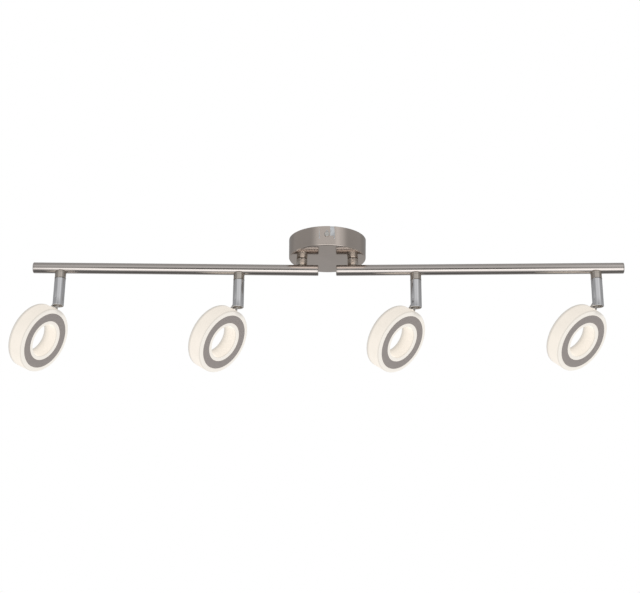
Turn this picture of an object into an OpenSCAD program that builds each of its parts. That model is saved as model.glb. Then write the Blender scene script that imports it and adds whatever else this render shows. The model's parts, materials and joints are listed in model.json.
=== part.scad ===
// Four-head LED ceiling spot bar: a round canopy carries two swivelling tube arms,
// and each arm carries two ring-shaped lamp heads that swivel and tilt.
// Millimetres, +Z up. The origin is on the ceiling plane, on the canopy's axis.
// +X runs along the right arm, and the room is below.

/* [Canopy] */
// Diameter at the rim that meets the ceiling
canopy_d = 100; // [95:1:120]
// Height from the ceiling to the lower face
canopy_h = 26; // [25:0.5:30]
// Thickness of the drawn sheet
canopy_wall = 1.0; // [0.8:0.1:1.2]
// How much narrower the wall gets towards the lower face
canopy_draft = 0.3; // [0:0.1:1]
// Outer radius of the bend into the lower face
canopy_bend = 1.5; // [1.3:0.1:3]

/* [Ceiling bracket] */
// Width of the strip
bracket_w = 20; // [16:1:20]
// Thickness of the strip
bracket_t = 1.5; // [1:0.5:2]
// Distance between the two ceiling screw slots
slot_spacing = 60; // [50:1:64]
// Width of a ceiling screw slot
slot_w = 5; // [4:0.5:6]
// End-to-end length of a ceiling screw slot
slot_len = 14; // [10:1:16]
// Diameter of the hole where the mains cable comes in
cable_hole_d = 10; // [8:1:12]
// Depth of the side screws below the ceiling
side_screw_z = 11.3; // [10:0.1:13]

/* [Arms] */
// Distance from the canopy's axis to each arm's swivel
swivel_x = 33; // [32:0.5:34]
// How far each arm is turned towards the viewer at rest, in degrees
arm_turn = 1.4; // [0:0.1:5]
// Outside diameter of the tube
tube_d = 14; // [13:0.1:14]
// Wall of the tube
tube_wall = 1.0; // [0.8:0.1:1.2]
// Height of the tube's axis below the ceiling
tube_z = 41.3; // [41:0.1:43]
// Reach of the arm outwards from its swivel
arm_out = 347; // [342:1:400]
// Reach of the arm inwards from its swivel
arm_in = 21.5; // [18:0.5:24]
// Distance from the swivel to the inner head
inner_head = 81; // [78:1:90]
// Distance from the swivel to the outer head
outer_head = 311.5; // [305:0.5:320]
// Diameter of the short stem under the canopy
stem_d = 14; // [13:0.5:14.5]

/* [Posts] */
// Diameter of the collar under the tube
collar_d = 14.6; // [14:0.1:15]
// Depth of the collar's lower end below the ceiling
collar_z = 56; // [55:0.5:57]
// Diameter of the post
post_d = 14.2; // [14:0.1:14.6]
// Depth of the post's lower end below the ceiling
post_z = 93; // [92.5:0.1:93]
// Depth of the tilt pin below the ceiling
pin_z = 84; // [84:0.1:84.5]
// Diameter of the tilt pin
pin_d = 3; // [2.5:0.5:3]
// Width of the slot that the tongue tilts in
slot_gap = 4.8; // [4.8:0.1:5.2]

/* [Ring heads] */
// Outside diameter of the ring
ring_d = 85; // [80:0.5:88]
// Diameter of the hole through the ring
ring_hole_d = 42.8; // [40:0.1:44]
// Depth of the ring from front to back
ring_depth = 22.7; // [22:0.1:24]
// Wall of the acrylic body
ring_wall = 3; // [2:0.5:3]
// Radius of the acrylic body's outer front edge
ring_edge = 2.6; // [1.5:0.1:2.6]
// Radius of the acrylic body's front edge round the hole
hole_edge = 1.5; // [1:0.1:2]
// Inside diameter of the front trim
trim_in_d = 52.6; // [50:0.1:54]
// Outside diameter of the front trim
trim_out_d = 73.2; // [70:0.1:74]
// Thickness of the rear cover's plate
cover_t = 2; // [1.5:0.5:2.5]
// Distance from the tilt pin to the ring's rim
stem_gap = 12.5; // [12.5:0.1:14]
// Direction that each head faces at rest, in degrees from +X
head_face = [-19.5, -28, -35, -43.3]; // [-180:0.1:180]
// Tilt of each head at rest, in degrees below level
head_tilt = [27, 31.8, 34.2, 38.6]; // [0:0.1:90]

/* [Driver] */
// Length, width and height of the driver's case
driver_size = [50, 26, 15]; // [15:1:50]
// Distance from the canopy's axis to the driver's near side
driver_y = 13; // [12:0.5:14]
// Wall of the driver's case
driver_wall = 1.5; // [1:0.5:2]

/* [Hidden] */
$fn = 64;
eps = 0.01;
// Radial clearance of a shaft that turns in its hole
running = 0.06;
// Gap between two faces of different moving pieces
face_gap = 0.2;

canopy_r = canopy_d / 2;
canopy_floor = -canopy_h + canopy_wall;
tube_r = tube_d / 2;
stem_thread_r = 5;
stem_bore_r = 3.5;
stem_top_z = -14;
bush_flange_t = 1.2;
bush_flange_r = 8.5;
bush_sleeve_r = 6;
nut_h = 5;
nut_af = 14;
cap_t = 1.6;
collar_neck_r = 4.5;
spigot_r = 4;
spigot_top_z = -50;
groove_z = -52.6;
grub_r = 1.5;
grub_tip_r = 0.9;
post_bore_r = 2.2;
tongue_t = 4.2;
tongue_eye_r = 4.3;
tongue_w = 8;
tongue_flange_r = 4.8;
tongue_flange_t = 1.4;
shank_r = 2.5;
shank_len = 8.5;
ring_r = ring_d / 2;
ring_hole_r = ring_hole_d / 2;
half_depth = ring_depth / 2;
ring_reach = stem_gap + ring_r;
trim_t = 0.8;
board_t = 1.2;
board_in_r = ring_hole_r + ring_wall + 0.8;
board_out_r = ring_r - ring_wall - 3.4;
led_count = 16;
led_size = [3.5, 2.8, 0.8];
screw_shank_r = 2;
screw_head_r = 3.4;
screw_head_t = 2.2;
leg_y = 47.4;
leg_drop = 17;
notch_x = 4.2;
notch_w = 5;
notch_h = 13;
tab_gap = 0.25;
lead_r = 0.8;
lead_y = 1.2;
lead_end_z = -48.6;
terminal_size = [30, 13, 12];
terminal_y = -20.5;
terminal_pitch = 10;
port_x = driver_size.x * 0.36;
port_h = driver_size.z - 4;

HEADS = [0, 1, 2, 3];
SIDES = ["left", "right"];

// Points of an arc about c, from angle a to angle b
function arc(c, r, a, b, n = 8) =
    [for (i = [0 : n]) c + r * [cos(a + (b - a) * i / n), sin(a + (b - a) * i / n)]];

// Which arm a head hangs from: 0 is the left one
function arm_of(h) = h < 2 ? 0 : 1;
function station(h) = h == 0 || h == 3 ? outer_head : inner_head;

// An arm's own frame: origin at its swivel, +X outwards along the tube
module arm_frame(side) {
    translate([side == 0 ? -swivel_x : swivel_x, 0, 0])
        rotate([0, 0, side == 0 ? 180 + arm_turn : -arm_turn])
            children();
}

// A post's frame: origin on the ceiling plane above the post, +X the way its head faces
module post_frame(h) {
    side = arm_of(h);
    arm_angle = side == 0 ? 180 + arm_turn : -arm_turn;
    arm_frame(side)
        translate([station(h), 0, 0])
            rotate([0, 0, head_face[h] - arm_angle])
                children();
}

// A head's frame: origin on the tilt pin, +X the way it faces, ring below
module head_frame(h) {
    post_frame(h)
        translate([0, 0, -pin_z])
            rotate([0, head_tilt[h], 0])
                children();
}

// The ring's frame: origin at its centre, +Z the way it faces
module ring_frame(h) {
    head_frame(h)
        translate([0, 0, -ring_reach])
            rotate([0, 90, 0])
                children();
}

// A twelve-sided rod from p to q, a little long at each end so that bends close up
module rod(p, q, r) {
    d = q - p;
    len = norm(d);
    translate(p)
        rotate([0, acos(d.z / len), atan2(d.y, d.x)])
            translate([0, 0, -r * 0.4])
                cylinder(h = len + r * 0.8, r = r, $fn = 12);
}

// A lead through a list of points
module lead(points) {
    for (i = [1 : len(points) - 1])
        rod(points[i - 1], points[i], lead_r);
}

// A disc with a rounded edge at its top, from z = 0 to z = t
module rounded_disc(r, t, edge) {
    rotate_extrude()
        polygon(concat([[0, 0], [r, 0]], arc([r - edge, t - edge], edge, 0, 90, 5), [[0, t]]));
}

// Pan-head screw: the head's seat is at z = 0, the head is above and the shank below
module pan_screw(shank) {
    difference() {
        union() {
            rounded_disc(screw_head_r, screw_head_t, 1.2);
            translate([0, 0, -shank])
                cylinder(h = shank + eps, r = screw_shank_r);
        }
        for (a = [0, 90])
            rotate([0, 0, a])
                translate([-1.9, -0.4, screw_head_t - 1.1])
                    cube([3.8, 0.8, 2]);
    }
}

// Places children at each side screw, with +Z pointing outwards
module at_side_screws() {
    for (a = [-90, 90])
        rotate([0, 0, a])
            translate([canopy_r - canopy_draft * side_screw_z / canopy_h, 0, -side_screw_z])
                rotate([0, 90, 0])
                    children();
}

// ---- Canopy group ----

// Keyhole for a side screw and the notch beside it, as one cutter at the front
module canopy_wall_cuts() {
    keyhole_top = 4.6;
    translate([0, -canopy_r - 1, -side_screw_z])
        rotate([-90, 0, 0]) {
            cylinder(h = 4, r = screw_shank_r + 0.3);
            translate([0, -keyhole_top, 0])
                cylinder(h = 4, r = 1.2);
            translate([-1.2, -keyhole_top, 0])
                cube([2.4, keyhole_top, 4]);
        }
    translate([notch_x, -canopy_r - 1, -notch_h])
        cube([notch_w, 4, notch_h + 1]);
}

module canopy() {
    outer = arc([canopy_r - canopy_draft - canopy_bend, -canopy_h + canopy_bend], canopy_bend, 0, -90);
    inner = arc([canopy_r - canopy_draft - canopy_bend, -canopy_h + canopy_bend],
        canopy_bend - canopy_wall, -90, 0);
    color("silver")
        difference() {
            rotate_extrude($fn = 96)
                polygon(concat([[canopy_r, 0]], outer, [[0, -canopy_h], [0, canopy_floor]], inner,
                    [[canopy_r - canopy_wall, 0]]));
            for (x = [-swivel_x, swivel_x])
                translate([x, 0, -canopy_h - 1])
                    cylinder(h = canopy_wall + 2, r = bush_sleeve_r);
            for (a = [0, 180])
                rotate([0, 0, a])
                    canopy_wall_cuts();
        }
}

// Folded strip whose two end tabs sit in the canopy's notches and stop it turning
module ceiling_bracket() {
    color("gainsboro")
        difference() {
            union() {
                translate([-bracket_w / 2, -leg_y, -bracket_t])
                    cube([bracket_w, 2 * leg_y, bracket_t]);
                for (y = [-leg_y, leg_y - bracket_t])
                    translate([-bracket_w / 2, y, -leg_drop])
                        cube([bracket_w, bracket_t, leg_drop - eps]);
                for (a = [0, 180])
                    rotate([0, 0, a])
                        translate([notch_x + tab_gap, canopy_wall - canopy_r, -bracket_t])
                            cube([notch_w - 2 * tab_gap, canopy_r - leg_y + 1, bracket_t]);
            }
            for (y = [-slot_spacing / 2, slot_spacing / 2])
                translate([0, y, -bracket_t - 1]) {
                    for (e = [-1, 1])
                        translate([0, e * (slot_len - slot_w) / 2, 0])
                            cylinder(h = bracket_t + 2, d = slot_w);
                    translate([-slot_w / 2, -(slot_len - slot_w) / 2, 0])
                        cube([slot_w, slot_len - slot_w, bracket_t + 2]);
                }
            translate([0, 0, -bracket_t - 1])
                cylinder(h = bracket_t + 2, d = cable_hole_d);
            translate([0, driver_y + 1, -bracket_t - 1])
                cylinder(h = bracket_t + 2, r = screw_shank_r);
            translate([0, -canopy_r, -side_screw_z])
                rotate([-90, 0, 0])
                    cylinder(h = canopy_d, r = screw_shank_r);
        }
}

module canopy_screws() {
    color("lightgray")
        at_side_screws()
            pan_screw(6.5);
}

// Flanged sleeves that line the two stem holes
module swivel_bushes() {
    color("ivory")
        for (x = [-swivel_x, swivel_x])
            translate([x, 0, 0])
                difference() {
                    union() {
                        translate([0, 0, -canopy_h])
                            cylinder(h = canopy_wall + eps, r = bush_sleeve_r);
                        translate([0, 0, canopy_floor])
                            cylinder(h = bush_flange_t, r = bush_flange_r);
                    }
                    translate([0, 0, -canopy_h - 1])
                        cylinder(h = canopy_wall + bush_flange_t + 2, r = stem_thread_r + running);
                }
}

module driver_case() {
    inside = driver_size - [2, 2, 1] * driver_wall;
    color("whitesmoke")
        translate([-driver_size.x / 2, driver_y, canopy_floor])
            difference() {
                cube(driver_size);
                translate([driver_wall, driver_wall, driver_wall])
                    cube([inside.x, inside.y, inside.z + 1]);
                for (x = [-port_x, 0, port_x])
                    translate([driver_size.x / 2 + x, -1, port_h])
                        rotate([-90, 0, 0])
                            cylinder(h = driver_wall + 2, r = 2.3);
            }
}

module driver_lid() {
    lip_gap = 0.15;
    lip_size = [driver_size.x, driver_size.y] - [2, 2] * (driver_wall + lip_gap);
    color("white")
        translate([-driver_size.x / 2, driver_y, canopy_floor + driver_size.z])
            union() {
                cube([driver_size.x, driver_size.y, driver_wall]);
                translate([driver_wall + lip_gap, driver_wall + lip_gap, -1])
                    cube([lip_size.x, lip_size.y, 1 + eps]);
            }
}

module driver_board() {
    margin = driver_wall + 0.5;
    color("darkgreen")
        translate([-driver_size.x / 2 + margin, driver_y + margin, canopy_floor + driver_wall])
            union() {
                cube([driver_size.x - 2 * margin, driver_size.y - 2 * margin, 1.6]);
                translate([16, 5, 1.6 - eps])
                    cube([13, 12, 8]);
                translate([9, 6, 1.6 - eps])
                    cylinder(h = 9, r = 4);
                translate([37, 7, 1.6 - eps])
                    cylinder(h = 8, r = 3.2);
                translate([4, 15, 1.6 - eps])
                    cube([7, 4, 6]);
                translate([33, 14, 1.6 - eps])
                    cube([8, 5, 4]);
            }
}

module terminal_holes() {
    for (i = [-1 : 1], y = [0.25, 0.75])
        translate([i * terminal_pitch, terminal_y + terminal_size.y * y, -bracket_t - terminal_size.z])
            children();
}

module mains_terminal() {
    color("white")
        difference() {
            translate([-terminal_size.x / 2, terminal_y, -bracket_t - terminal_size.z])
                cube(terminal_size);
            terminal_holes()
                translate([0, 0, -1])
                    cylinder(h = 5, r = 2.1);
            for (i = [-1 : 1])
                translate([i * terminal_pitch, terminal_y - 1, -bracket_t - terminal_size.z / 2])
                    rotate([-90, 0, 0])
                        cylinder(h = terminal_size.y + 2, r = 1.6);
        }
}

module terminal_screws() {
    color("goldenrod")
        terminal_holes()
            translate([0, 0, 0.8])
                difference() {
                    cylinder(h = 3.2, r = 1.9);
                    translate([-2.5, -0.3, -1])
                        cube([5, 0.6, 1.8]);
                }
}

module earth_screw() {
    color("goldenrod")
        translate([0, driver_y + 1, -bracket_t])
            rotate([180, 0, 0])
                pan_screw(bracket_t - 0.1);
}

// Single-core leads: terminal to driver, terminal to earth screw, driver to each stem's mouth
module canopy_leads() {
    port_y = driver_y + driver_wall;
    port_z = canopy_floor + port_h;
    pole_y = terminal_y + terminal_size.y - 1.5;
    pole_z = -bracket_t - terminal_size.z / 2;
    color("saddlebrown") {
        for (x = [-1, 1])
            lead([[x * terminal_pitch, pole_y, pole_z], [x * terminal_pitch, pole_y + 5, pole_z],
                [x * 2.2, driver_y - 6, port_z], [x, driver_y - 3, port_z], [x, port_y, port_z]]);
        lead([[0, pole_y, pole_z], [0, pole_y + 5, pole_z], [0, driver_y - 8, -4.5],
            [0, driver_y - 3.6, -3.2]]);
        for (side = [-1, 1], core = [-1, 1])
            lead([[side * port_x + core, port_y, port_z],
                [side * port_x, driver_y - 4, port_z + core],
                [side * swivel_x, 4, -9.5 + core],
                [side * swivel_x + core, 0, -11 + core / 2],
                [side * swivel_x + core, 0, stem_top_z + 1]]);
    }
}

// ---- Arm groups ----

module arm_tube(side) {
    color("silver")
        arm_frame(side)
            difference() {
                translate([-arm_in + cap_t, 0, -tube_z])
                    rotate([0, 90, 0])
                        difference() {
                            cylinder(h = arm_in + arm_out - 2 * cap_t, r = tube_r);
                            translate([0, 0, -1])
                                cylinder(h = arm_in + arm_out + 2, r = tube_r - tube_wall);
                        }
                translate([0, 0, -tube_z])
                    cylinder(h = tube_r + 1, r = stem_thread_r);
                for (s = [inner_head, outer_head])
                    translate([s, 0, -tube_z - tube_r - 1])
                        cylinder(h = tube_r + 1, r = collar_neck_r);
            }
}

// Stem: a hollow thread through the canopy, and a round spacer that sits on the tube
module arm_stem(side) {
    saddle_z = -tube_z + tube_r - 1.2;
    color("silver")
        arm_frame(side)
            difference() {
                union() {
                    difference() {
                        translate([0, 0, saddle_z])
                            cylinder(h = -canopy_h - face_gap - saddle_z, d = stem_d);
                        translate([-stem_d, 0, -tube_z])
                            rotate([0, 90, 0])
                                cylinder(h = 2 * stem_d, r = tube_r);
                    }
                    translate([0, 0, -tube_z + tube_r - tube_wall - 0.6])
                        cylinder(h = tube_z - tube_r + tube_wall + 0.6 + stem_top_z, r = stem_thread_r);
                }
                translate([0, 0, -tube_z])
                    cylinder(h = tube_z, r = stem_bore_r);
            }
}

module arm_stem_nut(side) {
    nut_z = canopy_floor + bush_flange_t + face_gap;
    color("goldenrod")
        arm_frame(side)
            translate([0, 0, nut_z])
                difference() {
                    union() {
                        cylinder(h = 1, r = bush_flange_r);
                        translate([0, 0, 1 - eps])
                            cylinder(h = nut_h - 1, d = nut_af / cos(30), $fn = 6);
                    }
                    translate([0, 0, -1])
                        cylinder(h = nut_h + 2, r = stem_thread_r);
                }
}

module arm_end_caps(side) {
    color("silver")
        arm_frame(side)
            for (e = [0, 1])
                translate([e == 0 ? -arm_in + cap_t : arm_out - cap_t, 0, -tube_z])
                    rotate([0, e == 0 ? -90 : 90, 0]) {
                        rounded_disc(tube_r, cap_t, 1);
                        translate([0, 0, -5])
                            difference() {
                                cylinder(h = 5 + eps, r = tube_r - tube_wall - 0.05);
                                translate([0, 0, -1])
                                    cylinder(h = 5, r = tube_r - tube_wall - 1.2);
                            }
                    }
}

// Two cores inside the tube: up into the stem and down into each collar
module arm_leads(side) {
    color("saddlebrown")
        arm_frame(side)
            for (y = [-lead_y, lead_y]) {
                lead([[0, y, stem_top_z - 1], [0, y, -tube_z], [outer_head, y, -tube_z],
                    [outer_head, y, lead_end_z]]);
                rod([inner_head, y, -tube_z], [inner_head, y, lead_end_z], lead_r);
            }
}

// ---- Head groups ----

// Collar: its neck is crimped into the tube, and the post's spigot turns in its bore
module collar(h) {
    side = arm_of(h);
    saddle_z = -tube_z - tube_r + 1.4;
    color("darkkhaki")
        arm_frame(side)
            translate([station(h), 0, 0])
                difference() {
                    union() {
                        difference() {
                            translate([0, 0, -collar_z])
                                cylinder(h = collar_z + saddle_z, d = collar_d);
                            translate([-collar_d, 0, -tube_z])
                                rotate([0, 90, 0])
                                    cylinder(h = 2 * collar_d, r = tube_r);
                        }
                        translate([0, 0, -tube_z - tube_r - 0.5])
                            cylinder(h = tube_wall + 0.9, r = collar_neck_r);
                    }
                    translate([0, 0, -collar_z - 1])
                        cylinder(h = collar_z + spigot_top_z + 1.4, r = spigot_r + running);
                    translate([0, 0, -collar_z])
                        cylinder(h = collar_z - tube_z, r = 2.6);
                    translate([0, 0, groove_z])
                        rotate([side == 0 ? 90 : -90, 0, 0])
                            cylinder(h = collar_d, r = grub_r);
                }
}

// Dog-point screw that runs in the spigot's groove and stops the post from dropping out
module grub_screw(h) {
    side = arm_of(h);
    outer_y = collar_d / 2 - 0.5;
    color("dimgray")
        arm_frame(side)
            translate([station(h), 0, groove_z])
                rotate([side == 0 ? 90 : -90, 0, 0])
                    difference() {
                        union() {
                            translate([0, 0, spigot_r + running])
                                cylinder(h = outer_y - spigot_r - running, r = grub_r);
                            translate([0, 0, spigot_r - 0.5])
                                cylinder(h = 1, r = grub_tip_r);
                        }
                        translate([0, 0, outer_y - 1.2])
                            cylinder(h = 2, r = 0.8, $fn = 6);
                    }
}

// Post: turned spigot with a retaining groove above, milled slot for the tongue below
module post(h) {
    slot_top = -pin_z + tongue_eye_r + 0.5;
    slot_front = tongue_eye_r + 0.5;
    edge = 0.4;
    top = -collar_z - face_gap;
    color("lightsteelblue")
        post_frame(h)
            difference() {
                rotate_extrude()
                    polygon([[0, -post_z], [post_d / 2 - edge, -post_z], [post_d / 2, -post_z + edge],
                        [post_d / 2, top - edge], [post_d / 2 - edge, top], [spigot_r, top],
                        [spigot_r, groove_z - 1.2], [spigot_r - 0.8, groove_z - 1.2],
                        [spigot_r - 0.8, groove_z + 1.2], [spigot_r, groove_z + 1.2],
                        [spigot_r, spigot_top_z - 0.4], [spigot_r - 0.4, spigot_top_z], [0, spigot_top_z]]);
                translate([0, 0, -pin_z])
                    cylinder(h = pin_z + spigot_top_z + 1, r = post_bore_r);
                translate([-post_d, -slot_gap / 2, -post_z - 1])
                    cube([post_d + slot_front, slot_gap, post_z + slot_top + 1]);
                translate([0, -post_d, -pin_z])
                    rotate([-90, 0, 0])
                        cylinder(h = 2 * post_d, d = pin_d);
            }
}

module pivot_pin(h) {
    pin_len = post_d - 0.4;
    color("gray")
        post_frame(h)
            translate([0, -pin_len / 2, -pin_z])
                rotate([-90, 0, 0])
                    cylinder(h = pin_len, d = pin_d);
}

// Knuckle: an eye on the pin, a flat tongue, and a hollow threaded shank into the ring
module knuckle(h) {
    tongue_end = -stem_gap + tongue_flange_t;
    color("silver")
        head_frame(h)
            difference() {
                union() {
                    translate([0, tongue_t / 2, 0])
                        rotate([90, 0, 0])
                            cylinder(h = tongue_t, r = tongue_eye_r);
                    translate([-tongue_w / 2, -tongue_t / 2, tongue_end - eps])
                        cube([tongue_w, tongue_t, -tongue_end]);
                    translate([0, 0, -stem_gap + 0.05])
                        cylinder(h = tongue_flange_t, r = tongue_flange_r);
                    translate([0, 0, -stem_gap - shank_len])
                        cylinder(h = shank_len + 1, r = shank_r);
                }
                translate([0, tongue_t, 0])
                    rotate([90, 0, 0])
                        cylinder(h = 2 * tongue_t, r = pin_d / 2 + running);
                translate([0, 0, -stem_gap - shank_len - 1])
                    cylinder(h = shank_len + 7, r = 1.1);
            }
}

// Opal acrylic body: a channel open at the back, with a seat for the front trim
module light_ring(h) {
    cavity_in = ring_hole_r + ring_wall;
    cavity_out = ring_r - ring_wall;
    back = -half_depth + cover_t;
    color("moccasin")
        difference() {
            ring_frame(h)
                rotate_extrude($fn = 96)
                    difference() {
                        polygon(concat([[ring_hole_r, back], [ring_r, back]],
                            arc([ring_r - ring_edge, half_depth - ring_edge], ring_edge, 0, 90, 5),
                            arc([ring_hole_r + hole_edge, half_depth - hole_edge], hole_edge, 90, 180, 5)));
                        translate([cavity_in, back - 1])
                            square([cavity_out - cavity_in, ring_depth - cover_t - ring_wall + 1]);
                        translate([trim_in_d / 2 - 0.1, half_depth - trim_t])
                            square([(trim_out_d - trim_in_d) / 2 + 0.2, 1]);
                    }
            head_frame(h)
                translate([0, 0, -stem_gap - ring_wall - 2])
                    cylinder(h = ring_wall + 4, r = shank_r + 0.2);
        }
}

module front_trim(h) {
    color("gray")
        ring_frame(h)
            translate([0, 0, half_depth - trim_t])
                difference() {
                    cylinder(h = trim_t, d = trim_out_d, $fn = 96);
                    translate([0, 0, -1])
                        cylinder(h = trim_t + 2, d = trim_in_d, $fn = 96);
                }
}

// Rear cover: a turned plate, a lip that centres it, and the block that takes the shank
module rear_cover(h) {
    lip_out = ring_r - ring_wall - 0.1;
    lip_t = 2;
    edge = cover_t - 0.1;
    block_in = ring_r - ring_wall - 8.3;
    block_w = 10;
    block_top = 5;
    plate_top = -half_depth + cover_t;
    color("linen")
        difference() {
            ring_frame(h)
                union() {
                    rotate_extrude($fn = 96)
                        polygon(concat([[ring_hole_r, plate_top], [ring_hole_r, -half_depth]],
                            arc([ring_r - edge, -half_depth + edge], edge, -90, 0, 5),
                            [[ring_r, plate_top], [lip_out, plate_top], [lip_out, plate_top + 3],
                                [lip_out - lip_t, plate_top + 3], [lip_out - lip_t, plate_top]]));
                    intersection() {
                        translate([-ring_r, -block_w / 2, plate_top - 0.5])
                            cube([ring_r - block_in, block_w, block_top - plate_top + 0.5]);
                        translate([0, 0, plate_top - 0.5])
                            cylinder(h = ring_depth, r = lip_out, $fn = 96);
                    }
                }
            head_frame(h)
                translate([0, 0, -stem_gap - ring_wall - 10])
                    cylinder(h = 12, r = shank_r);
        }
}

// Metal-core board with its LED packages, notched round the shank's block
module led_board(h) {
    plate_top = -half_depth + cover_t;
    led_r = (board_in_r + board_out_r) / 2;
    notch_w = 11;
    color("white")
        ring_frame(h)
            translate([0, 0, plate_top])
                difference() {
                    union() {
                        difference() {
                            cylinder(h = board_t, r = board_out_r, $fn = 96);
                            translate([0, 0, -1])
                                cylinder(h = board_t + 2, r = board_in_r, $fn = 96);
                        }
                        for (i = [0 : led_count - 1])
                            rotate([0, 0, 360 * (i + 0.5) / led_count])
                                translate([led_r - led_size.x / 2, -led_size.y / 2, board_t - eps])
                                    cube(led_size);
                    }
                    translate([-ring_r, -notch_w / 2, -1])
                        cube([ring_r - board_in_r - 2.8, notch_w, 6]);
                }
}

// ---- Draw ----

canopy();
ceiling_bracket();
canopy_screws();
swivel_bushes();
canopy_leads();
driver_case();
driver_lid();
driver_board();
mains_terminal();
terminal_screws();
earth_screw();
for (side = [0, 1]) {
    arm_tube(side);
    arm_stem(side);
    arm_stem_nut(side);
    arm_end_caps(side);
    arm_leads(side);
}
for (h = HEADS) {
    collar(h);
    grub_screw(h);
    post(h);
    pivot_pin(h);
    light_ring(h);
    front_trim(h);
    rear_cover(h);
    led_board(h);
    knuckle(h);
}
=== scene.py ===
"""Looks of the ceiling spot bar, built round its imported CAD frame.

Metres, +Z up, the ceiling at z = 0. Each piece is modelled in a frame of its own, worked out
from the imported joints, and takes its sizes from the CAD node that it stands for.
"""

import json
import math

import bmesh
import bpy
from mathutils import Matrix, Vector


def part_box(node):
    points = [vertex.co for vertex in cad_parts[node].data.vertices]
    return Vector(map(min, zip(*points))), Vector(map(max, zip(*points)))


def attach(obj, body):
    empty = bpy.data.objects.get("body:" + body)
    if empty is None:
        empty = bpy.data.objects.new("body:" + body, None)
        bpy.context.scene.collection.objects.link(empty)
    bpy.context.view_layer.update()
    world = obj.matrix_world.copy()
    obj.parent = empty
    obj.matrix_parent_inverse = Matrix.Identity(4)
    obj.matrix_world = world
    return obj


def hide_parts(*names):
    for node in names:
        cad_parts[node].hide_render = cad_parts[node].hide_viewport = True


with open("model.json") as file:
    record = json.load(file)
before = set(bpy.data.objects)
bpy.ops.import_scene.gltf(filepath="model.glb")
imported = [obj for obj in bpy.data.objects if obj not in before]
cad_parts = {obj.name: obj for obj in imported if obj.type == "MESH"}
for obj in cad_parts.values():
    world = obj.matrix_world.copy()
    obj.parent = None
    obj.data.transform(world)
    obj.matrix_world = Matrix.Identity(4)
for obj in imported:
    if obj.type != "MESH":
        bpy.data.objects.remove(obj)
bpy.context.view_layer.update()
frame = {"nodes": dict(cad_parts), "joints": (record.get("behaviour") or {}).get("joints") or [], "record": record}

MM = 0.001
JOINTS = {j["name"]: j for j in frame["joints"]}
SIDES = {"left": (1, 2), "right": (4, 3)}  # each arm's outer and inner head
HEADS = (1, 2, 3, 4)

# Sizes that only the looks need
SHEET = 1.0 * MM  # drawn sheet of the canopy
CANOPY_BEND = 1.5 * MM  # radius of its lower edge
CANOPY_DRAFT = 0.3 * MM  # how much narrower it gets towards the room
NOTCH_X, NOTCH_W, NOTCH_H = 4.2 * MM, 5.0 * MM, 13.0 * MM  # notch in its rim
NOTCH_GAP = 0.25 * MM  # clearance at each side of the bracket's tab in that notch
BRACKET_T = 1.5 * MM
SCREW_SHANK_R, SCREW_HEAD_T = 2.0 * MM, 2.2 * MM  # pan-head screws
BUSH_R, BUSH_FLANGE_T = 6.0 * MM, 1.2 * MM
DRIVER_WALL = 1.5 * MM
TUBE_WALL = 1.0 * MM
THREAD_R, THREAD_PITCH = 5.0 * MM, 1.0 * MM  # hollow thread of the stems
STEM_TEETH = 46  # knurl teeth round a stem
KNURL_PITCH, KNURL_DEPTH = 0.95 * MM, 0.22 * MM
NUT_FLAT = 7.0 * MM  # half the width across the stem nut's flats
WASHER_R, WASHER_T = 8.5 * MM, 1.0 * MM
COLLAR_NECK_R = 4.5 * MM  # crimped into the tube
SLOT_GAP = 4.8 * MM  # slot in a post
TONGUE_T, EYE_R = 4.2 * MM, 4.3 * MM  # the knuckle's tongue in that slot, and its round end
PIN_R = 1.5 * MM
RING_WALL = 3.0 * MM
LEAD_R = 0.8 * MM
LEAD_EASE = 0.3  # a lead's bend handles, as a share of the distance to the next point
PAST = 1.0 * MM  # how far a cutter reaches past the surface that it opens


# ---- Frames and sizes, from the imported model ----


def arm_frame(side):
    """Origin on the ceiling above the arm's swivel, +X outwards along the tube."""
    swivel = Vector(JOINTS[f"arm_{side}_swivel"]["pos_m"])
    outer = Vector(JOINTS[f"head{SIDES[side][0]}_swivel"]["pos_m"])
    angle = math.atan2(outer.y - swivel.y, outer.x - swivel.x)
    return Matrix.Translation((swivel.x, swivel.y, 0)) @ Matrix.Rotation(angle, 4, "Z")


def post_frame(head):
    """Origin on the ceiling above the post, +X the way its head faces."""
    tilt = JOINTS[f"head{head}_tilt"]
    x, y, _ = tilt["pos_m"]
    angle = math.atan2(-tilt["axis"][0], tilt["axis"][1])
    return Matrix.Translation((x, y, 0)) @ Matrix.Rotation(angle, 4, "Z")


def head_frame(head):
    """Origin on the tilt pin, +X the way the head faces, the ring below."""
    tilt = JOINTS[f"head{head}_tilt"]
    down = -math.radians(tilt["range_deg"][0])
    drop = Matrix.Translation((0, 0, tilt["pos_m"][2]))
    return post_frame(head) @ drop @ Matrix.Rotation(down, 4, "Y")


def extent(node, place):
    """Lowest and highest corner of a CAD node in the frame place."""
    inverse = place.inverted()
    points = [inverse @ v.co for v in frame["nodes"][node].data.vertices]
    low = Vector([min(p[i] for p in points) for i in range(3)])
    high = Vector([max(p[i] for p in points) for i in range(3)])
    return low, high


def ring_frame(head):
    """Origin at the ring's centre, +Z the way it faces, -X towards the post."""
    low, high = extent(f"head{head}_light_ring", head_frame(head))
    drop = Matrix.Translation((0, 0, (low.z + high.z) / 2))
    return head_frame(head) @ drop @ Matrix.Rotation(math.pi / 2, 4, "Y")


def radii(node, place):
    """Smallest and largest distance of a CAD node's points from the axis Z of place."""
    inverse = place.inverted()
    reach = [(inverse @ v.co).xy.length for v in frame["nodes"][node].data.vertices]
    return min(reach), max(reach)


def tube_size(side):
    """Height of an arm's tube on its axis, and the tube's radius."""
    low, high = extent(f"{side}_tube", arm_frame(side))
    return (low.z + high.z) / 2, (high.y - low.y) / 2


def station(head, side):
    """How far out along its arm a head hangs."""
    return (arm_frame(side).inverted() @ Vector(JOINTS[f"head{head}_swivel"]["pos_m"])).x


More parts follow.
